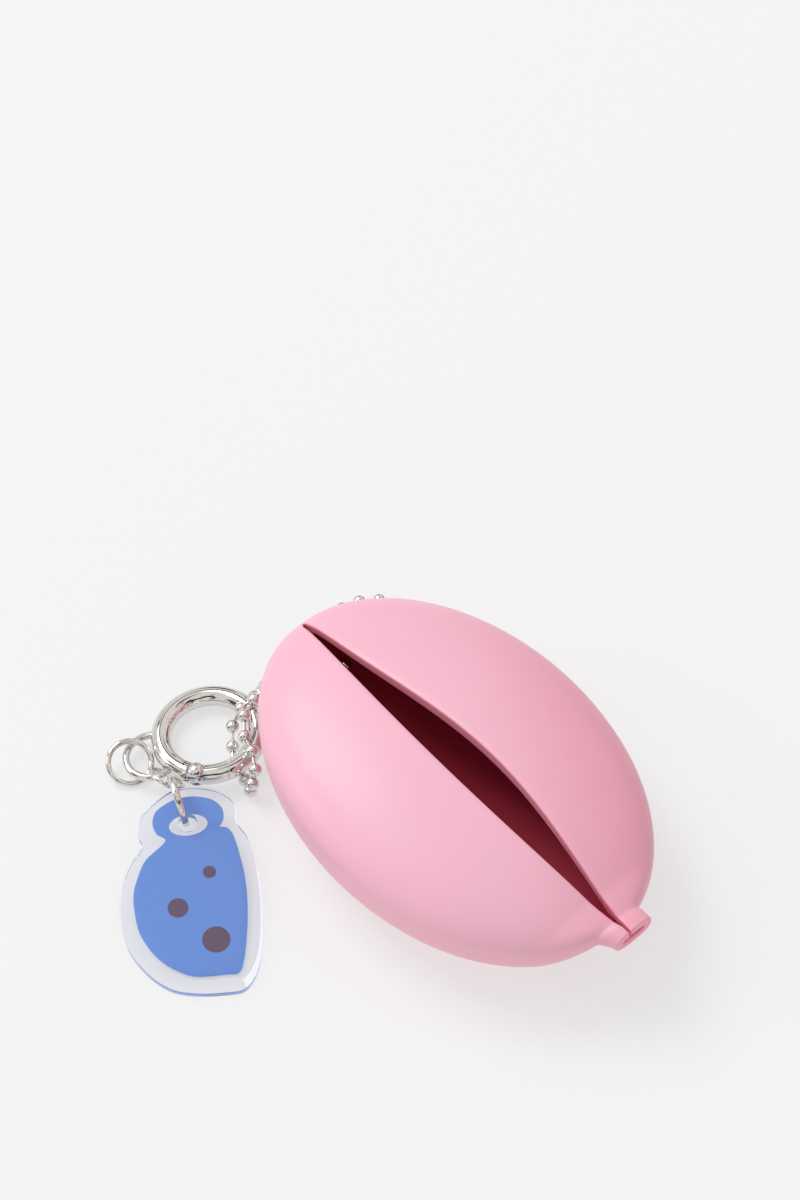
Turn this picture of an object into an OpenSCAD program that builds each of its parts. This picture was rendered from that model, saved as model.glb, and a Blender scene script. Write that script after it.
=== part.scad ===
// Squeeze coin purse: a one-piece moulded soft shell with a lengthwise slit, a ball chain through
// its tip, a round spring-gate ring and an acrylic charm on small wire rings.
// Millimetres. The slit runs along X from the tip (-X) to the round nub (+X), +Z is up, the
// origin is the middle of the flat that the purse stands on.

/* [Shell] */
// half length of the egg-shaped body
shell_a = 38.4; // [38:0.1:39]
// half width of the body
shell_b = 26; // [25:0.1:27]
// height of the widest line over the table
mid_z = 14.6; // [14.4:0.1:14.8]
// height of the top over the widest line
top_h = 9.4; // [9:0.1:10]
// roundness of the cross-section, 2 is an ellipse
bulge = 2.6; // [2.3:0.1:2.9]
// wall thickness
wall = 2.6; // [2.2:0.1:2.8]
// how far the rear lip stands back from the middle at most
slit_rear_open = 3.5; // [2.5:0.1:4]
// how far the front lip stands back from the middle at most
slit_front_open = 3.7; // [2.5:0.1:4]

/* [Nub] */
// end of the open tube at the slit's end
nub_end = 41.5; // [40.5:0.1:42]
// half width of the tube
nub_w = 4.35; // [4:0.05:4.6]
// half height of the tube
nub_h = 2.2; // [2:0.1:2.5]

/* [Ball chain] */
// ball diameter
ball_d = 2.3; // [2.2:0.05:2.4]
// diameter of the link wire
link_d = 0.6; // [0.5:0.05:0.7]
// diameter of the two chain holes in the tip
chain_hole_d = 3; // [2.8:0.1:3.2]

/* [Gate ring] */
// inside diameter of the ring
ring_id = 13; // [12.8:0.1:13]
// thickness of the ring's round bar
ring_bar = 3.4; // [3.2:0.1:3.4]
// how far the ring leans on the chain
ring_tilt = 6.5; // [6:0.5:7]

/* [Charm] */
// acrylic thickness
plate_t = 1.5; // [1.3:0.1:1.7]
// hole for the charm ring
charm_hole_d = 3.2; // [3:0.1:3.4]
// lean of the plate, head end up
plate_tilt = 5.5; // [5:0.5:6]

/* [Small rings] */
// wire of the charm ring
charm_wire = 1.24; // [1.1:0.02:1.26]
// wire of the link ring
link_ring_wire = 0.9; // [0.8:0.02:0.92]
// wire of the spare ring
spare_wire = 1; // [0.8:0.05:1.05]

/* [Hidden] */
$fn = 48;
e = 0.05;                        // overlap for clean cuts
gap = 0.3;                       // seam between the shell pieces that bend apart
dip = 0.35;                      // how far the round bottom is flattened
bottom_h = mid_z + dip;
seam_tip = -33;                  // X of the seam between tip and lips
seam_nub = 30;                   // X of the seam between nub and lips
hinge_y = 8;                     // Y of the bending line in the bottom
slit_w_end = 0.2;                // half width of the slit at its ends
slit_start = -37.5;
nub_z = 16.4;                    // height of the tube's middle
nub_wall = 1.6;
nub_from = 37;                   // from here on the tube narrows and leans to +Y
nub_lean = 1;
nub_narrow = 1;
chain_hole_y = 3.2;              // the two chain holes lie at this Y and at its negative
chain_hole_z = 8.5;
ring_rm = (ring_id + ring_bar) / 2;
ring_r = ring_bar / 2;
ring_c = [-38.1, -20.6, 2.75];
pivot_a = -55;                   // where the gate's rivet sits on the ring
pivot = [ring_rm * cos(pivot_a), ring_rm * sin(pivot_a), 0];
hinge_ball = [-36.6, -chain_hole_y, chain_hole_z];

// Shell surface
function taper(x, a) = sqrt(max(0, 1 - pow(x / a, 2)));
function blend3(p, q) = pow(pow(p, 3) + pow(q, 3), 1 / 3);
function smooth01(t) = let (c = min(1, max(0, t))) c * c * (3 - 2 * c);
function axis_z(x) = mid_z + (nub_z - mid_z) * smooth01((x - 33) / 7);
// half width, top height and bottom height at x; the nub side never gets thinner than its tube
function sizes(x, a, w, t, b, nw, nh) = let (k = taper(x, a), n = smooth01(x / 20))
  [blend3(w * k, n * nw), blend3(t * k, n * nh), blend3(b * k, n * nh)];
function nub_part(x) = smooth01((x - nub_from) / (nub_end - nub_from));
function tube_w(x) = nub_w + nub_narrow * (0.5 - nub_part(x));
function outer(x) = sizes(x, shell_a, shell_b, top_h, bottom_h, tube_w(x), nub_h);
function inner(x) = sizes(x, shell_a - wall, shell_b - wall, top_h - wall, bottom_h - wall - dip,
  tube_w(x) - nub_wall, nub_h - nub_wall);
function sgn_pow(v, p) = v < 0 ? -pow(-v, p) : pow(v, p);
// point on a section, q is 0 at the top, 90 at the -Y side, 180 at the bottom
function on_section(x, s, q) = [x, nub_lean * nub_part(x) - s[0] * sgn_pow(sin(q), 2 / bulge),
  max(0, axis_z(x) + (cos(q) > 0 ? s[1] : s[2]) * sgn_pow(cos(q), 2 / bulge))];
// angle at which a section is y wide, measured from the top
function q_at(s, y) = asin(min(1, pow(y / s[0], bulge / 2)));
// distance of each lip from the middle: the rear lip swings in to both ends, the front lip is fuller
function lip_off(x, rear) = slit_w_end + (rear
  ? (slit_rear_open - slit_w_end) * (abs(x - 6) > 38 ? 0 : pow(cos(90 * (x - 6) / 38), 2))
  : (slit_front_open - slit_w_end) * pow(max(0, 1 - pow((x - 1) / 39, 2)), 0.9));

// skins, walls and rims of one grid patch with outer points first, then inner points
function quad(a, b, c, d) = [[a, b, c], [a, c, d]];

// one lip: rows along X, columns from the slit over the side to the bending line
lip_rows = 40;
lip_cols = 22;
function lip_x(i) = let (u = i / lip_rows, x0 = seam_tip + gap / 2, x1 = seam_nub - gap / 2)
  x0 + (x1 - x0) * u;
function lip_row(x, s, rear) = let (q0 = q_at(s, lip_off(x, rear)), q1 = 180 - q_at(s, hinge_y + gap / 2))
  [for (j = [0 : lip_cols]) on_section(x, s, q0 + (q1 - q0) * j / lip_cols)];

module lip(rear) {
  n = lip_cols + 1;
  m = lip_rows + 1;
  pts = concat([for (i = [0 : lip_rows]) each lip_row(lip_x(i), outer(lip_x(i)), rear)],
    [for (i = [0 : lip_rows]) each lip_row(lip_x(i), inner(lip_x(i)), rear)]);
  k = m * n;
  faces = concat(
    [for (i = [0 : m - 2], j = [0 : n - 2]) let (a = i * n + j)
      each quad(a, a + 1, a + n + 1, a + n)],
    [for (i = [0 : m - 2], j = [0 : n - 2]) let (a = k + i * n + j)
      each quad(a, a + n, a + n + 1, a + 1)],
    [for (i = [0 : m - 2]) let (a = i * n) each quad(a, a + n, k + a + n, k + a)],
    [for (i = [0 : m - 2]) let (a = i * n + n - 1) each quad(a, k + a, k + a + n, a + n)],
    [for (j = [0 : n - 2]) each quad(j, k + j, k + j + 1, j + 1)],
    [for (j = [0 : n - 2]) let (a = (m - 1) * n + j) each quad(a, a + 1, k + a + 1, k + a)]);
  polyhedron(points = pts, faces = faces, convexity = 6);
}

// closed ends of the shell: full rings of points, joined under the lips by the bottom strip
ring_n = 48;
strip_n = 8;
side_n = (ring_n - strip_n) / 2;
// columns go over the top, down the -Y side, along the bottom strip and up the +Y side
function full_row(x, s) = let (qs = 180 - q_at(s, min(hinge_y - gap / 2, s[0] * 0.9)))
  [for (j = [0 : ring_n - 1]) on_section(x, s, j < side_n ? qs * j / side_n
    : j < side_n + strip_n ? qs + (360 - 2 * qs) * (j - side_n) / strip_n
    : 360 - qs + qs * (j - side_n - strip_n) / side_n)];
tip_rows = 9;
strip_rows = 36;
nub_rows = 12;
rows = tip_rows + strip_rows + nub_rows;
function base_x(i, a, x_end) = i <= tip_rows ? -a * cos(asin(sqrt(1 - pow(seam_tip / a, 2)))
    * (0.08 + 0.92 * i / tip_rows))
  : i <= tip_rows + strip_rows ? seam_tip + (seam_nub - seam_tip) * (i - tip_rows) / strip_rows
  : seam_nub + (x_end - seam_nub) * (i - tip_rows - strip_rows) / nub_rows;

module base_body() {
  n = ring_n;
  k = (rows + 1) * n;
  ai = shell_a - wall;
  pts = concat(
    [for (i = [0 : rows]) let (x = base_x(i, shell_a, nub_end)) each full_row(x, outer(x))],
    [for (i = [0 : rows]) let (x = base_x(i, ai, nub_end)) each full_row(x, inner(x))]);
  strip0 = tip_rows;
  strip1 = tip_rows + strip_rows;
  faces = concat(
    [for (i = [0 : rows - 1], j = [0 : n - 1])
      if (i < strip0 || i >= strip1 || (j >= side_n && j < side_n + strip_n))
        let (a = i * n + j, b = i * n + (j + 1) % n) each quad(a, b, b + n, a + n)],
    [for (i = [0 : rows - 1], j = [0 : n - 1])
      if (i < strip0 || i >= strip1 || (j >= side_n && j < side_n + strip_n))
        let (a = k + i * n + j, b = k + i * n + (j + 1) % n) each quad(a, a + n, b + n, b)],
    // end faces of tip and nub where the lips begin
    [for (r = [0, 1], j = [0 : n - 1]) if (j < side_n || j >= side_n + strip_n)
      let (i = r == 0 ? strip0 : strip1, a = i * n + j, b = i * n + (j + 1) % n)
        each r == 0 ? quad(a, b, k + b, k + a) : quad(a, k + a, k + b, b)],
    // long edges of the strip
    [for (i = [strip0 : strip1 - 1]) let (a = i * n + side_n)
      each quad(a, a + n, k + a + n, k + a)],
    [for (i = [strip0 : strip1 - 1]) let (a = i * n + side_n + strip_n)
      each quad(a, k + a, k + a + n, a + n)],
    // tip closed outside and inside, tube open at its end
    [[for (j = [n - 1 : -1 : 0]) j]],
    [[for (j = [0 : n - 1]) k + j]],
    [for (j = [0 : n - 1]) let (a = rows * n + j, b = rows * n + (j + 1) % n)
      each quad(a, b, k + b, k + a)]);
  polyhedron(points = pts, faces = faces, convexity = 8);
}

// prism between the two lips, from x0 to x1 and upwards from z0
module slit_cut(x0, x1, z0) {
  steps = 8;
  xs = [for (u = [0 : steps]) x0 + (x1 - x0) * u / steps];
  translate([0, 0, z0]) linear_extrude(12) polygon(concat(
    [for (x = xs) [x, -lip_off(x, false)]],
    [for (u = [steps : -1 : 0]) [xs[u], lip_off(xs[u], true)]]));
}

module shell_base() {
  color([0.95, 0.72, 0.79]) difference() {
    base_body();
    slit_cut(slit_start, seam_tip + e, mid_z + 1);
    slit_cut(seam_nub - e, nub_end + e, nub_z);
    // two chain holes through the tip
    for (s = [-1, 1]) translate([-38, s * chain_hole_y, chain_hole_z]) rotate([0, 90, 0])
      cylinder(d = chain_hole_d, h = 8.5);
  }
}

module lip_front() {
  color([0.96, 0.74, 0.81]) lip(false);
}

module lip_rear() {
  color([0.94, 0.70, 0.77]) mirror([0, 1, 0]) lip(true);
}

// Ball chain: ball centres, in order along the strand
anchor = [[-36.6, chain_hole_y, chain_hole_z], [-33.2, chain_hole_y, chain_hole_z], [-30, 2.8, 9.6],
  [-28.2, 0, 10], [-30, -2.8, 9.6], [-33.2, -chain_hole_y, chain_hole_z], hinge_ball];
ball_wall = 0.22;
link_hole_r = 0.42;
wide_hole_r = 0.72;              // lets the first link outside the tip swing
chain = [hinge_ball, [-36.7, -6.5, 8.7], [-36.2, -9.7, 8.9], [-35.6, -12.6, 8.4],
  [-34.9, -15.4, 7.2], [-32.3, -17.6, 6.1], [-28.9, -18.8, 6.9], [-26.2, -20.4, 6],
  [-25.4, -21.8, 4], [-25.8, -22, 1.6], [-28.2, -21.2, 1.2], [-31.85, -20.75, 1.2],
  [-34.4, -18.7, 1.4], [-36.7, -16.7, 2.9], [-37.2, -14.2, 5.35], [-37.3, -11.2, 5.75],
  [-38.4, -8.8, 3.6], [-39.6, -6.4, 1.5], [-41, -3.3, 1.2], [-42.3, -0.1, 1.2],
  [-43.2, 3.2, 1.2], [-43.7, 6.6, 1.2], [-43.7, 10, 1.2], [-43.2, 13.4, 1.2],
  [-42.3, 16.6, 1.2], [-40.2, 19.3, 1.3], [-37.2, 18.2, 1.6], [-36.1, 15, 1.6],
  [-36.4, 11.8, 2.6], [-36.9, 9, 4.5], [-37.3, 6.4, 6.6]];

// turns Z onto the line from a to b
module along(a, b) {
  v = b - a;
  translate(a) rotate([0, acos(v[2] / norm(v)), atan2(v[1], v[0])]) children();
}

// pressed hollow ball with a hole towards each neighbour
module ball(c, holes) {
  // the balls' seams are turned away from the holes
  u = [for (h = holes) let (v = [h[0] - c[0], h[1] - c[1]]) v / norm(v)];
  away = len(u) > 1 ? -u[0] - u[1] : -u[0];
  difference() {
    translate(c) rotate([0, 0, atan2(away[1], away[0])]) sphere(d = ball_d, $fn = 24);
    translate(c) rotate([0, 0, atan2(away[1], away[0])])
      sphere(d = ball_d - 2 * ball_wall, $fn = 24);
    for (h = holes) along(c, h) cylinder(r = link_hole_r, h = ball_d, $fn = 16);
  }
}

// wire with a head inside each of two balls
module link(a, b) {
  head = 0.5;
  head_r = 0.38;
  along(a, b) {
    translate([0, 0, head]) cylinder(d = link_d, h = norm(b - a) - 2 * head, $fn = 16);
    for (z = [head, norm(b - a) - head]) translate([0, 0, z]) sphere(r = head_r, $fn = 16);
  }
}

module anchor_balls() {
  n = len(anchor) - 1;
  color([0.96, 0.70, 0.76]) {
    for (i = [1 : n - 1]) ball(anchor[i], [anchor[i - 1], anchor[i + 1]]);
    ball(anchor[0], [anchor[1]]);
    difference() {
      ball(anchor[n], [anchor[n - 1]]);
      along(anchor[n], chain[1]) cylinder(r = wide_hole_r, h = ball_d, $fn = 16);
    }
  }
}

module anchor_links() {
  color([0.8, 0.6, 0.62]) for (i = [0 : len(anchor) - 2]) link(anchor[i], anchor[i + 1]);
}

module chain_balls() {
  n = len(chain) - 1;
  color([0.96, 0.70, 0.76]) {
    for (i = [1 : n - 1]) ball(chain[i], [chain[i - 1], chain[i + 1]]);
    ball(chain[n], [chain[n - 1]]);
  }
}

module chain_links() {
  color([0.8, 0.6, 0.62]) for (i = [0 : len(chain) - 2]) link(chain[i], chain[i + 1]);
}

// slotted sleeve that holds the two ends of the chain
module chain_coupling() {
  a = chain[27];
  b = chain[28];
  past = 1.1;
  sleeve_r = 1.5;
  bore = 1.22;
  slot_w = 0.9;
  long = norm(b - a) + 2 * past;
  color([0.8, 0.6, 0.62]) along(a, b) translate([0, 0, -past]) difference() {
    cylinder(r = sleeve_r, h = long, $fn = 32);
    translate([0, 0, -e]) cylinder(r = bore, h = long + 2 * e, $fn = 32);
    translate([-2, -slot_w / 2, -e]) cube([2, slot_w, long + 2 * e]);
  }
}

// Gate ring
module ring_frame() {
  translate(ring_c) rotate([0, -ring_tilt, 0]) children();
}

module bar_ring() {
  rotate_extrude($fn = 96) translate([ring_rm, 0]) circle(d = ring_bar, $fn = 40);
}

// tall wedge between two angles of the ring
module wedge(a0, a1) {
  translate([0, 0, -3]) linear_extrude(6)
    polygon([[0, 0], [30 * cos(a0), 30 * sin(a0)],
      [45 * cos((a0 + a1) / 2), 45 * sin((a0 + a1) / 2)], [30 * cos(a1), 30 * sin(a1)]]);
}

// the gate's span: a round tail about the rivet and a round nose about the rivet
module gate_span(tail, nose) {
  translate(pivot + [0, 0, -3]) cylinder(r = tail, h = 6);
  intersection() {
    translate(pivot + [0, 0, -3]) cylinder(r = nose, h = 6, $fn = 96);
    wedge(pivot_a, 40);
  }
}

tongue_t = 1.2;
tongue_r = 1.5;                  // round end of the tongue about the rivet
fork_t = 1.44;
fork_r = 1.85;
rivet_r = 0.6;
head_r = 1.5;
head_z = 1.4;
tail_r = 2.15;                   // the gate's two ends, both round about the rivet
nose_r = 5.6;
play = 0.2;

module ring_body() {
  color([0.82, 0.83, 0.86]) ring_frame() {
    difference() {
      bar_ring();
      gate_span(tail_r + play * 0.75, nose_r + play);
    }
    // tongue into the gate's fork
    difference() {
      intersection() {
        bar_ring();
        translate([0, 0, -tongue_t / 2]) union() {
          linear_extrude(tongue_t) polygon([[0, 0], [30 * cos(-86), 30 * sin(-86)],
            [30 * cos(pivot_a), 30 * sin(pivot_a)]]);
          translate(pivot) cylinder(r = tongue_r, h = tongue_t);
        }
      }
      translate(pivot - [0, 0, 2]) cylinder(r = rivet_r, h = 4);
    }
  }
}

// small loop brazed to the ring, for the charm
module ring_eye() {
  color([0.80, 0.81, 0.84]) ring_frame() difference() {
    translate([-3.4, -9.8, 0]) rotate_extrude($fn = 64) translate([4.35, 0])
      circle(r = 0.65, $fn = 24);
    bar_ring();
    translate([0, 0, -2]) cylinder(r = ring_rm, h = 4);
  }
}

module gate_rivet() {
  color([0.75, 0.76, 0.79]) ring_frame() translate(pivot) {
    translate([0, 0, -head_z - 0.1]) cylinder(r = rivet_r, h = 2 * head_z + 0.2);
    for (m = [0, 1]) mirror([0, 0, m]) translate([0, 0, head_z]) intersection() {
      cylinder(r = head_r, h = 0.7);
      translate([0, 0, -1.1]) sphere(r = 1.8, $fn = 40);
    }
  }
}

// blind bore in the gate for plunger and spring
bore_a0 = -39.7;
bore_a1 = -22;
bore_from = [ring_rm * cos(bore_a0), ring_rm * sin(bore_a0), 0];
bore_to = [(ring_rm - 0.3) * cos(bore_a1), (ring_rm - 0.3) * sin(bore_a1), 0];
bore_r = 0.65;
plunger_r = 0.56;

module gate() {
  color([0.84, 0.85, 0.88]) ring_frame() difference() {
    intersection() {
      bar_ring();
      gate_span(tail_r, nose_r);
    }
    // fork for the tongue
    translate([0, 0, -fork_t / 2]) {
      translate(pivot) cylinder(r = fork_r, h = fork_t);
      linear_extrude(fork_t) polygon([[0, 0], [30 * cos(-100), 30 * sin(-100)],
        [30 * cos(pivot_a), 30 * sin(pivot_a)]]);
    }
    translate(pivot - [0, 0, 2]) cylinder(r = rivet_r + 0.05, h = 4);
    for (m = [0, 1]) mirror([0, 0, m]) translate(pivot + [0, 0, head_z - 0.06])
      cylinder(r = head_r + 0.06, h = 1);
    along(bore_from - (bore_to - bore_from) * 0.4, bore_to)
      cylinder(r = bore_r, h = 1.4 * norm(bore_to - bore_from));
  }
}

// pin with a round nose that presses on the tongue
module gate_plunger() {
  color([0.7, 0.7, 0.72]) ring_frame() along(bore_from, bore_to) {
    cylinder(r = plunger_r, h = 0.9);
    intersection() {
      sphere(r = plunger_r, $fn = 24);
      translate([0, 0, -1]) cylinder(r = 1, h = 1 + e);
    }
  }
}

// coil of thin wire, each turn a tilted ring
module gate_spring() {
  turns = 5;
  pitch = 0.3;
  r = 0.42;
  wire_r = 0.11;
  lean = atan(pitch / 2 / (2 * r));
  color([0.6, 0.6, 0.62]) ring_frame() along(bore_from, bore_to) translate([0, 0, 1.1])
    for (i = [0 : turns - 1]) translate([0, 0, i * pitch]) {
      rotate([0, -lean, 0]) rotate_extrude($fn = 32) translate([r, 0])
        circle(r = wire_r, $fn = 16);
    }
}

// Small wire rings, given by centre, normal and middle radius
// a jump ring is bent from wire, so it has a fine cut at one place
module jump_ring(c, normal, r, wire, cut_a) {
  along(c, c + normal) difference() {
    rotate_extrude($fn = 64) translate([r, 0]) circle(d = wire, $fn = 24);
    rotate([0, 0, cut_a]) translate([r - wire, -0.03, -wire]) cube([2 * wire, 0.06, 2 * wire]);
  }
}

module spare_ring() {
  lean = 24;
  color([0.80, 0.81, 0.84])
    jump_ring([-43.1, -33.8, 2.08], [0.939 * sin(lean), -0.344 * sin(lean), cos(lean)],
      3.62, spare_wire, -60);
}

module link_ring() {
  color([0.80, 0.81, 0.84])
    jump_ring([-35.97, -31.56, 3.01], [-0.138, 0.766, 0.627], 3, link_ring_wire, 100);
}

module charm_ring() {
  color([0.80, 0.81, 0.84])
    jump_ring([-30.79, -33.32, 4.75], [0.398, 0.911, 0.106], 4.05, charm_wire, 150);
}

// Charm, drawn in its own plane: X from foot to head, Y to the left
module plate_frame() {
  translate([-0.76, -50.53, 1.56]) rotate([0, 0, 148.5]) rotate([0, -plate_tilt, 0])
    translate([0, 0, -plate_t]) children();
}

print_t = 0.1;
print_shift = 1.2;               // the print sits nearer to the head than to the foot
hole_x = 30.4;

module plate_outline() {
  polygon([[30.4, 8.3], [32.6, 7.6], [34.1, 6.2], [36, 3.3], [36.8, 1], [36.7, -1.9],
    [35.9, -4.7], [34.6, -6.6], [33.2, -7.8], [31.1, -8.2], [28.9, -8.1], [26.2, -9.3],
    [22.1, -10], [17.5, -10.1], [12.4, -9.7], [6.9, -8.7], [3.4, -7.6], [1.1, -6.2],
    [-0.2, -4.4], [-0.2, -1.8], [0.2, 2], [1.2, 5.7], [2.7, 8.1], [5.1, 10.3], [8.8, 12.4],
    [12.3, 13.2], [16.3, 13.3], [19.6, 12.7], [22.6, 11.5], [25.2, 9.9], [27.4, 8], [29, 8.4]]);
}

module print_outline() {
  difference() {
    translate([print_shift, 0]) polygon([[30.4, 5.8], [32.3, 5.1], [33.3, 3.7],
      [34.1, 1.7], [34.3, -0.8], [33.9, -2.8],
      [33, -4.7], [31.4, -5.9], [29.8, -6], [28.8, -5.6], [28, -5.1], [27.7, -6.2], [26, -7.1],
      [22, -7.6], [18.1, -7.8], [13.8, -7.5], [9, -6.7], [4.3, -5.5], [2, -4.3], [2, -2],
      [2.3, 1.9], [3.1, 4.3], [5.1, 7], [7.8, 9.1], [11.4, 10.6], [15.3, 10.9], [18.5, 10.6],
      [21.3, 9.5], [24.1, 7.8], [26.9, 4.2], [28.4, 5.4]]);
    // clear patch round the hole, wider than long
    polygon([for (t = [0 : 10 : 350]) [hole_x + 1.9 * cos(t), 3.2 * sin(t)]]);
  }
}

module charm_plate() {
  color([0.85, 0.9, 0.97, 0.5]) plate_frame() difference() {
    linear_extrude(plate_t) plate_outline();
    translate([hole_x, 0, -1]) cylinder(d = charm_hole_d, h = plate_t + 2);
    translate([0, 0, -1]) linear_extrude(1 + print_t) print_outline();
  }
}

module charm_print() {
  color([0.45, 0.61, 0.87]) plate_frame() linear_extrude(print_t) print_outline();
}

shell_base();
lip_front();
lip_rear();
anchor_balls();
anchor_links();
chain_balls();
chain_links();
chain_coupling();
ring_body();
ring_eye();
gate_rivet();
gate();
gate_plunger();
gate_spring();
spare_ring();
link_ring();
charm_ring();
charm_plate();
charm_print();
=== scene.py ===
import math

import bpy
import numpy as np
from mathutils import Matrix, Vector


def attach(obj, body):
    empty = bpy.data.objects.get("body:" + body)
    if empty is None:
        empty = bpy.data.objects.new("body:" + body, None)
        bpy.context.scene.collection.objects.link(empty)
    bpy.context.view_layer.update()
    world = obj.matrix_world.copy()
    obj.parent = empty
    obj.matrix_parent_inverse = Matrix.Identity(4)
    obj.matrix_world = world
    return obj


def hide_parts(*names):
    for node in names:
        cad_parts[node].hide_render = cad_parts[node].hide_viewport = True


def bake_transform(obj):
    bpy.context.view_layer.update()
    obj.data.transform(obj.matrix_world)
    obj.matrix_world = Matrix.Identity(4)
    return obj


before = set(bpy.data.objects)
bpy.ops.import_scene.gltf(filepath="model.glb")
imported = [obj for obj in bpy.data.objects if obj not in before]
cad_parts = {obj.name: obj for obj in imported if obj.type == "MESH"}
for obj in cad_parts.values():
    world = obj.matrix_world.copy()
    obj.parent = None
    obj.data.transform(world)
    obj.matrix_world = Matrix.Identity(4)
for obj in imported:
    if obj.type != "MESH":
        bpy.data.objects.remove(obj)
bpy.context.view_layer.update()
MM = 0.001

# Table, camera and light. The purse lies on a white table, seen from above its tip at the
# photograph's angle. One large soft lamp stands on the upper left, and the white room fills in.
VIEW_TURN = math.radians(48.4)
VIEW_LIFT = math.radians(56.5)
VIEW_FROM = 0.600
AIM = Vector((-0.0385, 0.0226, 0.0))   # the point of the table in the middle of the picture
LENS_PER_HEIGHT = 3460 / 1200
SENSOR_HEIGHT = 24.0
WHITE_ROOM = (0.895, 0.895, 0.900)


def toward(turn, lift):
    """Unit vector from the aim to a place seen at this compass turn and height angle."""
    flat = math.cos(lift)
    return Vector((math.sin(turn) * flat, -math.cos(turn) * flat, math.sin(lift)))


camera_data = bpy.data.cameras.new("camera")
camera_data.sensor_fit = "VERTICAL"
camera_data.sensor_height = SENSOR_HEIGHT
camera_data.lens = LENS_PER_HEIGHT * SENSOR_HEIGHT
camera_data.clip_start = 0.01
camera_data.clip_end = 20
camera = bpy.data.objects.new("camera", camera_data)
bpy.context.scene.collection.objects.link(camera)
camera.location = AIM + VIEW_FROM * toward(VIEW_TURN, VIEW_LIFT)
camera.rotation_euler = (math.radians(90) - VIEW_LIFT, 0, VIEW_TURN)
bpy.context.scene.camera = camera
bpy.context.scene.view_settings.view_transform = "Standard"


class Wire:
    """One socket in a material, so that shader maths is written with + - * / and numbers."""

    def __init__(self, tree, socket):
        self.tree = tree
        self.socket = socket

    def node(self, kind, inputs=None, out=0, **settings):
        """Adds a node: its settings first, then values or links by socket name or number."""
        made = self.tree.nodes.new(kind)
        for key, value in settings.items():
            setattr(made, key, value)
        for key, value in (inputs or {}).items():
            if isinstance(value, Wire):
                self.tree.links.new(value.socket, made.inputs[key])
            else:
                made.inputs[key].default_value = value
        return Wire(self.tree, made.outputs[out])

    def maths(self, operation, *values):
        return self.node("ShaderNodeMath", dict(enumerate(values)), operation=operation)

    def __add__(self, other):
        return self.maths("ADD", self, other)

    def __sub__(self, other):
        return self.maths("SUBTRACT", self, other)

    def __rsub__(self, other):
        return self.maths("SUBTRACT", other, self)

    def __mul__(self, other):
        return self.maths("MULTIPLY", self, other)

    def __pow__(self, other):
        return self.maths("POWER", self, other)

    __radd__ = __add__
    __rmul__ = __mul__

    def step(self, low, high):
        """0 below low, 1 above high, smooth between."""
        return self.node("ShaderNodeMapRange", {0: self, 1: low, 2: high, 3: 0.0, 4: 1.0},
                         interpolation_type="SMOOTHSTEP")

    def mix(self, first, second):
        """Colour that is first where this is 0 and second where it is 1."""
        def four(colour):
            return colour if isinstance(colour, Wire) else (*colour, 1)
        return self.node("ShaderNodeMix", {0: self, 6: four(first), 7: four(second)},
                         out=2, data_type="RGBA")


def new_material(name):
    """An empty node material: its Principled shader and a wire to start expressions from."""
    made = bpy.data.materials.new(name)
    made.use_nodes = True
    tree = made.node_tree
    shader = tree.nodes["Principled BSDF"]
    return made, shader, Wire(tree, None)


def plug(shader, **inputs):
    """Sets the shader's sockets: numbers and colours as they are, wires as links."""
    for name, value in inputs.items():
        socket = shader.inputs[name.replace("_", " ")]
        if isinstance(value, Wire):
            value.tree.links.new(value.socket, socket)
        elif socket.type == "RGBA":
            socket.default_value = (*value, 1)
        else:
            socket.default_value = value


floor_mesh = bpy.data.meshes.new("table")
FLOOR_HALF = 3.0
floor_mesh.from_pydata([(-FLOOR_HALF, -FLOOR_HALF, 0), (FLOOR_HALF, -FLOOR_HALF, 0),
                        (FLOOR_HALF, FLOOR_HALF, 0), (-FLOOR_HALF, FLOOR_HALF, 0)], [],
                       [(0, 1, 2, 3)])
table = bpy.data.objects.new("table", floor_mesh)
bpy.context.scene.collection.objects.link(table)
table_white, shader, wire = new_material("table_white")
fleck = wire.node("ShaderNodeTexNoise", {"Vector": wire.node("ShaderNodeTexCoord", out=3),
                                         "Scale": 900.0, "Detail": 2.0})
plug(shader, Base_Color=fleck.mix((0.306, 0.306, 0.308), (0.322, 0.322, 0.324)), Roughness=0.75,
     Specular_IOR_Level=0.2, Emission_Color=(1, 1, 1), Emission_Strength=0.568)
floor_mesh.materials.append(table_white)

world = bpy.data.worlds.new("white_room")
bpy.context.scene.world = world
world.use_nodes = True
tree = world.node_tree
wire = Wire(tree, None)
path = tree.nodes.new("ShaderNodeLightPath")
from_camera = Wire(tree, path.outputs["Is Camera Ray"])
in_mirror = Wire(tree, path.outputs["Is Glossy Ray"])
seen_plain = from_camera.maths("MAXIMUM", from_camera,
                               Wire(tree, path.outputs["Is Transmission Ray"]))
way = wire.node("ShaderNodeTexCoord", out=0)
height = wire.node("ShaderNodeSeparateXYZ", {0: way}, out=2)
things = wire.node("ShaderNodeTexNoise", {"Vector": way, "Scale": 2.3, "Detail": 1.0,
                                          "Distortion": 0.6})
walls = things.step(0.41, 0.48).mix((0.045, 0.042, 0.040), (0.88, 0.865, 0.845))
room = height.step(0.0, 0.08).mix((0.05, 0.048, 0.046), walls)
fill = wire.node("ShaderNodeBackground", {"Color": (1, 1, 1, 1), "Strength": 0.66})
mirrored = wire.node("ShaderNodeBackground", {"Color": room, "Strength": 1.0})
white = wire.node("ShaderNodeBackground", {"Color": (*WHITE_ROOM, 1), "Strength": 1.0})
both = wire.node("ShaderNodeMixShader", {0: in_mirror, 1: fill, 2: mirrored})
both = wire.node("ShaderNodeMixShader", {0: seen_plain, 1: both, 2: white})
tree.links.new(both.socket, tree.nodes["World Output"].inputs["Surface"])


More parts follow.
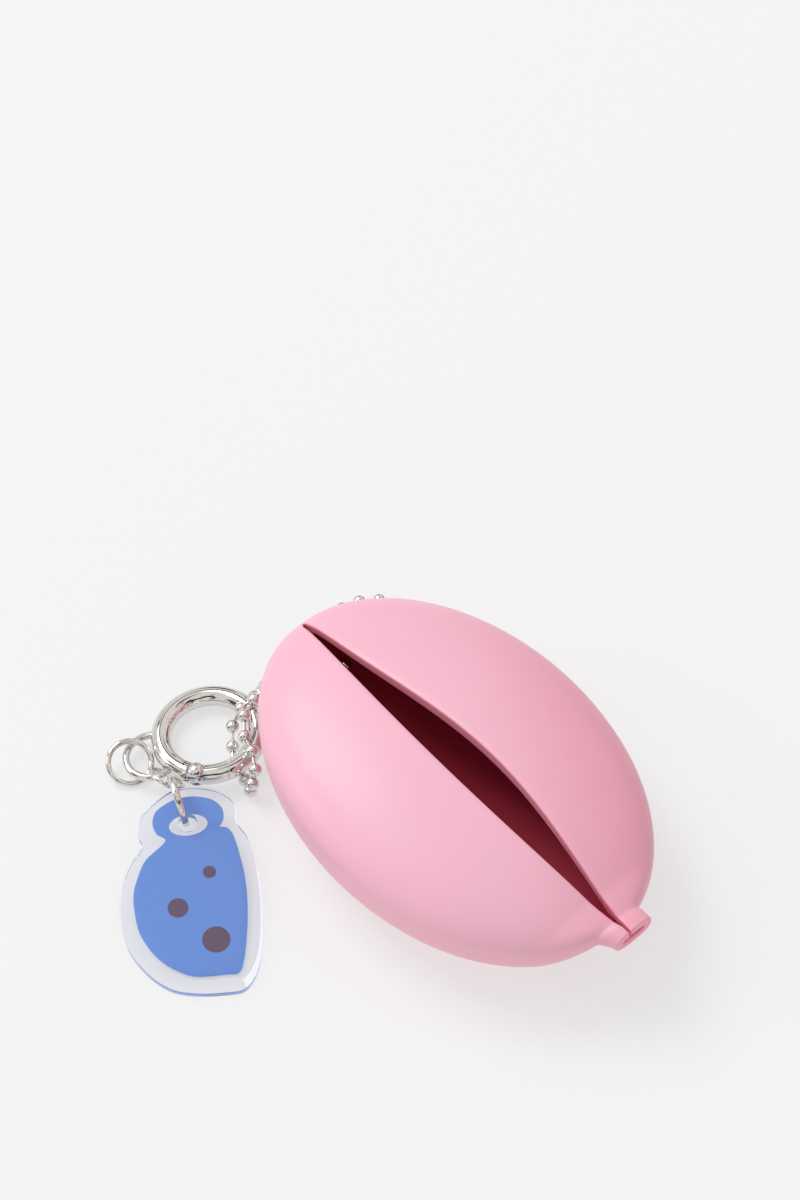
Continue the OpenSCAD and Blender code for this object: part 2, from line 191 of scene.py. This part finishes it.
def soft_lamp(name, turn, lift, distance, size, watts):
    """A square soft box that faces the purse."""
    data = bpy.data.lights.new(name, "AREA")
    data.shape = "SQUARE"
    data.size = size
    data.energy = watts
    lamp = bpy.data.objects.new(name, data)
    way = toward(math.radians(turn), math.radians(lift))
    lamp.location = distance * way
    lamp.rotation_euler = way.to_track_quat("Z", "Y").to_euler()
    bpy.context.scene.collection.objects.link(lamp)


soft_lamp("window", turn=-82, lift=52, distance=4.4, size=2.2, watts=91)
soft_lamp("low_window", turn=-45, lift=26, distance=4.8, size=1.4, watts=27)


# Shell: one piece of soft pink vinyl, rotationally moulded, slit along the top while it is still
# soft. It is an egg flattened where it stands, with a thick wall, square-cut lips and a nub with
# an open tube at one end. Each half is drawn as two pieces, towards the tip and towards the nub.
SHELL_A, SHELL_B = 38.4, 26.0
MID_Z, TOP_H, DIP = 14.6, 9.4, 0.35
BULGE = 2.6
WALL = 2.6
NUB_END, NUB_W, NUB_H, NUB_Z, NUB_WALL = 41.5, 4.35, 2.2, 16.4, 1.6
NUB_FROM, NUB_LEAN, NUB_NARROW = 37.0, 1.0, 1.0
NUB_BLEND = 20.0                      # the tube's size fades in from the middle over this length
AXIS_FROM, AXIS_RISE = 33.0, 7.0      # from here, and over this length, the axis rises to the nub
FRONT_OPEN, REAR_OPEN, SLIT_END = 3.7, 3.5, 0.2
BOW_X, BOW_HALF, BOW_POWER = 1.0, 39.0, 0.9
SWING_X, SWING_HALF = 6.0, 38.0
SLIT_START, SLIT_POINT = -37.5, 0.8
LIP_ROUND, LIP_CORNER = 0.22, 8
END_ROUND = 0.3
CROWD = 1.15                          # gathers the outside's columns towards the lip
ROSE_NUB = 4.0                        # length of the nub whose inside is as pale as a cut face, without the inside's painted shade
SEAM_TIP, SEAM_NUB = -33, 30          # the real lips move fully only well inside these two places; nothing below moves them
BEND_SHARE = 0.25                     # share of the way to a seam within which a real lip moves fully; not used to move anything


def smooth(t):
    """0 below 0, 1 above 1, and 3t2 - 2t3 between."""
    t = np.clip(t, 0, 1)
    return t * t * (3 - 2 * t)


def nub_part(x):
    """0 on the body, rising smoothly to 1 at the end of the nub."""
    return smooth((x - NUB_FROM) / (NUB_END - NUB_FROM))


def section_sizes(x, inset):
    """Half width, top height and bottom height of the body at x, inset by a wall: each shrinks
    with sqrt(1 - (x/a)^2), and towards the nub none gets less than its tube's, as a third-power
    sum. The tube narrows to its end, which is rounded over."""
    a = SHELL_A - inset
    k = np.sqrt(np.clip(1 - (x / a) ** 2, 0, 1))
    thin = inset / WALL
    past = np.clip((x - (NUB_END - END_ROUND)) / END_ROUND, 0, 1)
    curl = END_ROUND * (1 - np.sqrt(1 - past ** 2 * 0.999)) * (1 - 2 * thin)
    nub = smooth(x / NUB_BLEND)
    tube_w = nub * (NUB_W + NUB_NARROW * (0.5 - nub_part(x)) - NUB_WALL * thin - curl)
    tube_h = nub * (NUB_H - NUB_WALL * thin - curl)
    bottom = MID_Z + DIP - inset - DIP * thin
    return [np.cbrt((big * k) ** 3 + small ** 3) for big, small in
            ((SHELL_B - inset, tube_w), (TOP_H - inset, tube_h), (bottom, tube_h))]


def lip_off(x, rear):
    """Distance of a lip from the middle. Front: open * (1 - ((x-1)/39)^2)^0.9, a full bow. Rear:
    open * cos^2, which swings in to both ends. Both close to a point where the slit starts."""
    bow = np.clip(1 - ((x - BOW_X) / BOW_HALF) ** 2, 0, 1) ** BOW_POWER
    swing = np.where(np.abs(x - SWING_X) > SWING_HALF, 0,
                     np.cos(np.radians(90 * (x - SWING_X) / SWING_HALF)) ** 2)
    shape = (REAR_OPEN - SLIT_END) * swing if rear else (FRONT_OPEN - SLIT_END) * bow
    return smooth((x - SLIT_START) / SLIT_POINT) * (SLIT_END + shape)


def on_section(x, sizes, q):
    """Point at angle q from the top of a super-ellipse section: width * sin^(2/n), height *
    cos^(2/n), with the flat the purse stands on cut at zero height."""
    w, t, b = sizes
    s, c = np.sin(q), np.cos(q)
    axis = MID_Z + (NUB_Z - MID_Z) * smooth((x - AXIS_FROM) / AXIS_RISE)
    high = np.where(c > 0, t, b) * np.sign(c) * np.abs(c) ** (2 / BULGE)
    return np.stack([x + 0 * q, -w * np.abs(s) ** (2 / BULGE), np.maximum(axis + high, 0)], -1)


def angle_at(sizes, y):
    """Angle from the top at which a section is y wide."""
    return np.arcsin(np.clip(y / np.maximum(sizes[0], 1e-6), 0, 1) ** (BULGE / 2))


def half_shell(x, side_n, edge_n, rear):
    """Grid over one half, drawn on the -Y side: rows along x; columns run from the lip over the
    outside to the middle of the bottom, back inside to the lip, and over the cut face with its
    edges rounded. A last row, halfway between outside and inside, closes the nub's end face.
    The nub leans to +Y, which is outwards in the rear half."""
    x = x[:, None]
    out, ins = section_sizes(x, 0.0), section_sizes(x, WALL)
    g = lip_off(x, rear)
    lean = (-NUB_LEAN if rear else NUB_LEAN) * nub_part(x)
    start = smooth((x - SLIT_START) / SLIT_POINT)
    r = np.minimum(LIP_ROUND * start, 0.4 * out[0])
    v = np.linspace(0, 1, side_n)[None]
    q0 = angle_at(out, g + r + lean)
    outer = on_section(x, out, q0 + (np.pi - q0) * v ** CROWD)
    q1 = angle_at(ins, np.minimum(g + r + lean, 0.98 * ins[0]))
    inner = on_section(x, ins, np.pi + (q1 - np.pi) * v)
    outer[..., 1] += lean
    inner[..., 1] += lean
    w = np.linspace(1, -1, edge_n + 2)[None, 1:-1]
    corner = 1 - (1 - np.abs(w) ** LIP_CORNER) ** (1 / LIP_CORNER)
    y_cut = -(g + r * corner)
    low, high = inner[:, -1:, 2], outer[:, :1, 2]
    depth = low + (high - low) * (1 - w) / 2
    cut = np.stack([x + 0 * w, y_cut, depth], -1)
    # Colour mask: 0 outside, 0.5 cut face, 1 inside, where the material paints shade
    in_nub = np.where(x > NUB_END - ROSE_NUB, 0.5, 1.0)
    mask = np.concatenate([np.zeros((len(x), side_n)), np.repeat(in_nub, side_n, 1),
                           np.full((len(x), edge_n), 0.5)], 1)
    skin = np.concatenate([outer, inner, cut], 1)
    across = np.concatenate([np.arange(2 * side_n)[::-1], 2 * side_n + np.arange(edge_n)[::-1]])
    cap = (skin[-1:] + skin[-1:, across]) / 2
    return np.concatenate([skin, cap]), np.concatenate([mask, np.full((1, mask.shape[1]), 0.5)])


def grid_mesh(name, points, closed, colour=None, normals=None, flip=False):
    """Mesh of a grid of points; closed joins the last column to the first."""
    m, n = points.shape[:2]
    i, j = np.meshgrid(np.arange(m - 1), np.arange(n if closed else n - 1), indexing="ij")
    a, b = i * n + j, i * n + (j + 1) % n
    faces = np.stack([a, b, b + n, a + n], -1).reshape(-1, 4)
    if flip:
        faces = faces[:, ::-1]
    mesh = bpy.data.meshes.new(name)
    mesh.from_pydata((points.reshape(-1, 3) * MM).tolist(), [], faces.tolist())
    mesh.polygons.foreach_set("use_smooth", np.ones(len(faces), bool))
    if colour is not None:
        mesh.attributes.new("cut", "FLOAT", "POINT").data.foreach_set(
            "value", colour.reshape(-1).astype(np.float32))
    if normals is not None:
        mesh.normals_split_custom_set_from_vertices(normals.reshape(-1, 3).tolist())
    return mesh


def grid_normals(points):
    """Unit normals of a closed-column grid, from central differences both ways."""
    along = np.gradient(points, axis=0)
    round_ = np.roll(points, -1, 1) - np.roll(points, 1, 1)
    normal = np.cross(round_, along)
    length = np.linalg.norm(normal, axis=-1, keepdims=True)
    return normal / np.maximum(length, 1e-12)


def add_piece(name, mesh, material):
    piece = bpy.data.objects.new(name, mesh)
    mesh.materials.append(material)
    bpy.context.scene.collection.objects.link(piece)
    return piece


VINYL_CUT = (0.86, 0.30, 0.40)
# The shell's inside is the same vinyl; its deep red is painted shade of the dark hollow.
VINYL_INSIDE_SHADE = (0.55, 0.03, 0.07)
vinyl, shader, wire = new_material("pink_vinyl")
place = wire.node("ShaderNodeTexCoord", out=3)
cloud = wire.node("ShaderNodeTexNoise", {"Vector": place, "Scale": 42.0, "Detail": 3.0})
grain = wire.node("ShaderNodeTexNoise", {"Vector": place, "Scale": 2600.0, "Detail": 2.0})
where = wire.node("ShaderNodeAttribute", out=2, attribute_name="cut")
pink = cloud.mix((0.835, 0.432, 0.540), (0.870, 0.475, 0.580))
# Lower down, the shell turns a deeper, more saturated pink: painted shade.
low = wire.node("ShaderNodeSeparateXYZ", {0: place}, out=2)
pink = low.step(0.022, 0.004).mix(pink, (0.900, 0.400, 0.500))
# The side towards +X and +Y, away from the lamps, is darker and more saturated: painted shade.
shaded_side = wire.node("ShaderNodeVectorMath", {0: place, 1: (0.5, 1.0, 0.0)}, out=1,
                operation="DOT_PRODUCT")
pink = shaded_side.step(0.0, 0.032).mix(pink, (0.790, 0.335, 0.425))
pink = where.step(0.05, 0.45).mix(pink, VINYL_CUT)
# Where the mask is near 1, inside the shell, painted shade in deep red.
pink = where.step(0.55, 0.95).mix(pink, VINYL_INSIDE_SHADE)
bump = wire.node("ShaderNodeBump", {"Height": grain, "Strength": 0.06, "Distance": 0.0002})
plug(shader, Base_Color=pink, Roughness=cloud * 0.10 + 0.36, Normal=bump, Coat_Weight=0.12,
     Coat_Roughness=0.25, Specular_IOR_Level=0.42)

ROWS_TIP = 110
ROWS_NUB = 120
ROWS_CROWD = 1.25
SIDE_N = 74
turn = np.linspace(0, np.pi / 2, ROWS_TIP)
x_tip = -SHELL_A * np.cos(turn)
x_nub = np.linspace(0, NUB_END, ROWS_NUB)[1:]
x_nub = NUB_END * (1 - (1 - x_nub / NUB_END) ** ROWS_CROWD)
x_rows = np.concatenate([x_tip, x_nub])
for side, sign, body, joint_start in (("front", 1, "front_side", "lip_front"),
                                      ("rear", -1, "rear_side", "lip_rear")):
    skin, inside = half_shell(x_rows, SIDE_N, edge_n=9, rear=sign < 0)
    skin_normals = grid_normals(skin)
    skin_normals[0] = (-1, 0, 0)
    skin_normals[-1] = (1, 0, 0)
    rim = skin_normals[-2] + (1, 0, 0)
    skin_normals[-2] = rim / np.linalg.norm(rim, axis=-1, keepdims=True)
    for column, beside in ((SIDE_N - 1, SIDE_N - 2), (SIDE_N, SIDE_N + 1)):
        seam = skin_normals[1:, beside] * (1, 0, 1)
        length = np.linalg.norm(seam, axis=-1, keepdims=True)
        skin_normals[1:, column] = seam / np.maximum(length, 1e-9)
    flip = np.array([1.0, sign, 1.0])
    for end, rows, fixed in (("tip", slice(0, ROWS_TIP), SEAM_TIP),
                             ("nub", slice(ROWS_TIP - 1, None), SEAM_NUB)):
        mesh = grid_mesh(f"shell_{side}_{end}", skin[rows] * flip, True, inside[rows],
                         skin_normals[rows] * flip, flip=sign < 0)
        piece = add_piece(f"shell_{side}_{end}", mesh, vinyl)
        fixed * MM
        fixed * MM * BEND_SHARE
        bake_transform(piece)
        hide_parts("shell_base", joint_start)


# Hardware: the round gate ring, its brazed eye, the wire rings and the bead chain are zinc and
# steel, barrel-polished and bright nickel plated. Fine scratches from handling show up close.
nickel, shader, wire = new_material("bright_nickel")
place = wire.node("ShaderNodeTexCoord", out=3)
haze = wire.node("ShaderNodeTexNoise", {"Vector": place, "Scale": 350.0, "Detail": 4.0})
scratch = wire.node("ShaderNodeTexNoise", {"Vector": place, "Scale": 1500.0, "Detail": 2.0,
                                           "Distortion": 1.5})
ripple = wire.node("ShaderNodeBump", {"Height": scratch, "Strength": 0.02, "Distance": 0.0001})
plug(shader, Base_Color=haze.mix((0.68, 0.66, 0.63), (0.75, 0.73, 0.70)), Metallic=1.0,
     Roughness=haze * 0.08 + 0.03, Normal=ripple)
steel, shader, wire = new_material("spring_steel")
place = wire.node("ShaderNodeTexCoord", out=3)
haze = wire.node("ShaderNodeTexNoise", {"Vector": place, "Scale": 500.0, "Detail": 3.0})
plug(shader, Base_Color=haze.mix((0.40, 0.40, 0.42), (0.52, 0.52, 0.54)), Metallic=1.0,
     Roughness=haze * 0.15 + 0.25)
for node, finish in (("ring_body", nickel), ("ring_eye", nickel), ("gate_rivet", nickel),
                     ("gate", nickel), ("spare_ring", nickel), ("link_ring", nickel),
                     ("charm_ring", nickel), ("anchor_balls", nickel), ("anchor_links", nickel),
                     ("chain_balls", nickel), ("chain_links", nickel),
                     ("chain_coupling", nickel), ("gate_plunger", steel),
                     ("gate_spring", steel)):
    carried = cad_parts[node]
    carried.data.materials.clear()
    carried.data.materials.append(finish)


# The wire that closes the chain's loop inside the second hole of the tip. The solids leave it
# out, because it joins two moving bodies; here it stretches between them.
CLOSING_FROM = np.array([-36.6, 3.2, 8.5])
CLOSING_TO = np.array([-37.3, 6.4, 6.6])
CLOSING_R = 0.25
length = np.linspace(0, 1, 12)[:, None, None]
turn = np.linspace(0, 2 * np.pi, 16, endpoint=False)[None, :, None]
line = CLOSING_TO - CLOSING_FROM
side = np.cross(line, (0, 0, 1)) / np.linalg.norm(np.cross(line, (0, 0, 1)))
rise = np.cross(side, line) / np.linalg.norm(line)
points = CLOSING_FROM + line * length + CLOSING_R * (side * np.cos(turn) + rise * np.sin(turn))
closing = add_piece("closing_link", grid_mesh("closing_link", points, True, flip=True), nickel)
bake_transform(closing)


# Charm: 1.5 mm clear acrylic, laser cut round the print with a clear margin and a polished edge.
# It hangs on the charm ring by a hole in its head. Drawn in its own plane, then laid in place.
PLATE_T = 1.5
PLATE_TILT = math.radians(5.5)
PLATE_TURN = math.radians(148.5)
PLATE_FOOT = np.array([-0.76, -50.53, 1.56])
HOLE_X, HOLE = 30.4, (1.6, 1.6)
EDGE_ROUND = 0.12
PLANE_SIZE, PLANE_START = 40, (0.05, 0.5)   # the charm's plane lies in the flat map at this scale
PLATE_OUTLINE = [(30.4, 8.3), (32.6, 7.6), (34.1, 6.2), (36, 3.3), (36.8, 1), (36.7, -1.9),
                 (35.9, -4.7), (34.6, -6.6), (33.2, -7.8), (31.1, -8.2), (28.9, -8.1),
                 (26.2, -9.3), (22.1, -10), (17.5, -10.1), (12.4, -9.7), (6.9, -8.7),
                 (3.4, -7.6), (1.1, -6.2), (-0.2, -4.4), (-0.2, -1.8), (0.2, 2), (1.2, 5.7),
                 (2.7, 8.1), (5.1, 10.3), (8.8, 12.4), (12.3, 13.2), (16.3, 13.3),
                 (19.6, 12.7), (22.6, 11.5), (25.2, 9.9), (27.4, 8), (29, 8.4)]
PRINT_SHIFT = (1.2, 0)
PRINT_OUTLINE = [(30.4, 5.8), (32.3, 5.1), (33.3, 3.7), (34.1, 1.7), (34.3, -0.8),
                 (33.9, -2.8), (33, -4.7), (31.4, -5.9), (29.8, -6), (28.8, -5.6), (28, -5.1),
                 (27.7, -6.2), (26, -7.1), (22, -7.6), (18.1, -7.8), (13.8, -7.5), (9, -6.7),
                 (4.3, -5.5), (2, -4.3), (2, -2), (2.3, 1.9), (3.1, 4.3), (5.1, 7), (7.8, 9.1),
                 (11.4, 10.6), (15.3, 10.9), (18.5, 10.6), (21.3, 9.5), (24.1, 7.8),
                 (26.9, 4.2), (28.4, 5.4)]


def spline_loop(points, each):
    """Closed Catmull-Rom curve: each piece is the cubic through four neighbours."""
    p = np.array(points, float)
    before, after, beyond = np.roll(p, 1, 0), np.roll(p, -1, 0), np.roll(p, -2, 0)
    t = (np.arange(each) / each)[None, :, None]
    a, b, c, d = before[:, None], p[:, None], after[:, None], beyond[:, None]
    curve = 0.5 * (2 * b + (c - a) * t + (2 * a - 5 * b + 4 * c - d) * t ** 2
                   + (3 * b - a - 3 * c + d) * t ** 3)
    return curve.reshape(-1, 2)


def inward(curve, by):
    """The closed curve moved to its inside, along its normals."""
    along = np.roll(curve, -1, 0) - np.roll(curve, 1, 0)
    along /= np.linalg.norm(along, axis=1, keepdims=True)
    area = np.sum(curve[:, 0] * np.roll(curve[:, 1], -1) - np.roll(curve[:, 0], -1) * curve[:, 1])
    return curve + np.sign(area) * by * np.stack([-along[:, 1], along[:, 0]], 1)


def laid(flat_points):
    """Points of the charm's own plane, underside at zero, leaned and turned into place."""
    x, y, z = np.moveaxis(flat_points, -1, 0)
    z = z - PLATE_T
    ct, st = math.cos(PLATE_TILT), math.sin(PLATE_TILT)
    x, z = x * ct - z * st, x * st + z * ct
    cr, sr = math.cos(PLATE_TURN), math.sin(PLATE_TURN)
    return np.stack([x * cr - y * sr, x * sr + y * cr, z], -1) + PLATE_FOOT


def ring_plate(outline, hole_radii, low, high, rounding):
    """Plate with an elliptic hole, as one closed tube of points: from the hole out over the
    underside, round the edge, back over the top and down the hole. The hole's points lie at
    the same angles as the outline's, 1 / sqrt((cos/a)^2 + (sin/b)^2) from its middle."""
    rays = outline - (HOLE_X, 0)
    rays = rays / np.linalg.norm(rays, axis=1, keepdims=True)
    hole = rays / np.linalg.norm(rays / hole_radii, axis=1, keepdims=True) + (HOLE_X, 0)
    out_share = np.linspace(0, 1, 9)[:, None, None]
    turn = np.linspace(-np.pi / 2, np.pi / 2, 9)
    sunk = rounding * (1 - np.cos(turn))
    edge_z = np.where(turn < 0, low + rounding * (1 + np.sin(turn)),
                      high - rounding * (1 - np.sin(turn)))
    edge = np.array([inward(outline, s) for s in sunk])
    flat = hole + (edge[0] - hole) * out_share
    under = np.concatenate([flat, np.full(flat.shape[:2] + (1,), low)], -1)
    side = np.concatenate([edge[1:-1], np.broadcast_to(edge_z[1:-1, None, None],
                                                       edge[1:-1].shape[:2] + (1,))], -1)
    top = np.concatenate([flat[::-1], np.full(flat.shape[:2] + (1,), high)], -1)
    return np.concatenate([under, side, top]).transpose(1, 0, 2)


def plate_piece(name, points, material):
    """Closes the grid both ways, lays it in place and keeps its flat faces crisp."""
    grid = np.concatenate([points, points[:1]])
    mesh = grid_mesh(name, laid(grid), True)
    flat = mesh.uv_layers.new(name="plane")
    loops = np.empty(len(mesh.loops), int)
    mesh.loops.foreach_get("vertex_index", loops)
    uv = grid.reshape(-1, 3)[loops][:, :2] / PLANE_SIZE + PLANE_START
    flat.data.foreach_set("uv", uv.reshape(-1).astype(np.float32))
    mesh.set_sharp_from_angle(angle=math.radians(40))
    return add_piece(name, mesh, material)


acrylic, shader, wire = new_material("clear_acrylic")
place = wire.node("ShaderNodeTexCoord", out=3)
wave = wire.node("ShaderNodeTexNoise", {"Vector": place, "Scale": 160.0, "Detail": 1.0})
swell = wire.node("ShaderNodeBump", {"Height": wave, "Strength": 0.02, "Distance": 0.0002})
# The grey-blue tint, darker than clear acrylic, is painted shade: it stands for the plate's
# shadow on the table, seen through the clear margin.
plug(shader, Base_Color=(0.875, 0.885, 0.925), Roughness=0.02, IOR=1.49, Transmission_Weight=1.0,
     Normal=swell)
light_path = acrylic.node_tree.nodes.new("ShaderNodeLightPath")
through = Wire(acrylic.node_tree, light_path.outputs["Is Shadow Ray"])
through = through.maths("MAXIMUM", through,
                        Wire(acrylic.node_tree, light_path.outputs["Is Diffuse Ray"]))
clear = wire.node("ShaderNodeBsdfTransparent", {"Color": (0.93, 0.93, 0.94, 1)})
glass = Wire(acrylic.node_tree, shader.outputs[0])
whole = wire.node("ShaderNodeMixShader", {0: through, 1: glass, 2: clear})
acrylic.node_tree.links.new(whole.socket,
                            acrylic.node_tree.nodes["Material Output"].inputs["Surface"])

plate = plate_piece("charm_acrylic", ring_plate(spline_loop(PLATE_OUTLINE, 8), HOLE, 0.0,
                                                PLATE_T, EDGE_ROUND), acrylic)
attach(plate, "charm")
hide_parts("charm_plate")


# Print: blue ink with a few plum dots, printed on the back of the charm and backed with white.
# It stops short of the charm's edge and leaves a clear ring round the hole.
PRINT_LOW, PRINT_HIGH = 0.02, 0.10
PRINT_HOLE = (1.9, 3.2)
PLUM = (0.085, 0.040, 0.090)
DOTS = ((9.5, -1.5, 2.3), (16.0, 3.8, 1.7), (21.5, -2.2, 1.1))
DOT_EDGE = 0.06
ink, shader, wire = new_material("printed_ink")
flat = wire.node("ShaderNodeUVMap", uv_map="plane")
apart = flat.node("ShaderNodeSeparateXYZ", {0: flat}).socket.node
across, along = (Wire(ink.node_tree, apart.outputs[k]) for k in (0, 1))
across, along = ((way - start) * PLANE_SIZE for way, start in zip((across, along), PLANE_START))
screen = wire.node("ShaderNodeTexNoise", {"Vector": wire.node("ShaderNodeTexCoord", out=3),
                                          "Scale": 3500.0, "Detail": 1.0})
colour = screen.mix((0.098, 0.240, 0.650), (0.115, 0.275, 0.715))
for x, y, r in DOTS:
    away = ((across - x) ** 2 + (along - y) ** 2) ** 0.5
    colour = away.step(r - DOT_EDGE, r + DOT_EDGE).mix(PLUM, colour)
plug(shader, Base_Color=colour, Roughness=0.45)
print_outline = spline_loop(PRINT_OUTLINE, 8) + PRINT_SHIFT
ink_piece = plate_piece("charm_ink", ring_plate(print_outline, PRINT_HOLE, PRINT_LOW, PRINT_HIGH,
                                                0.02), ink)
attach(ink_piece, "charm")
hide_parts("charm_print")
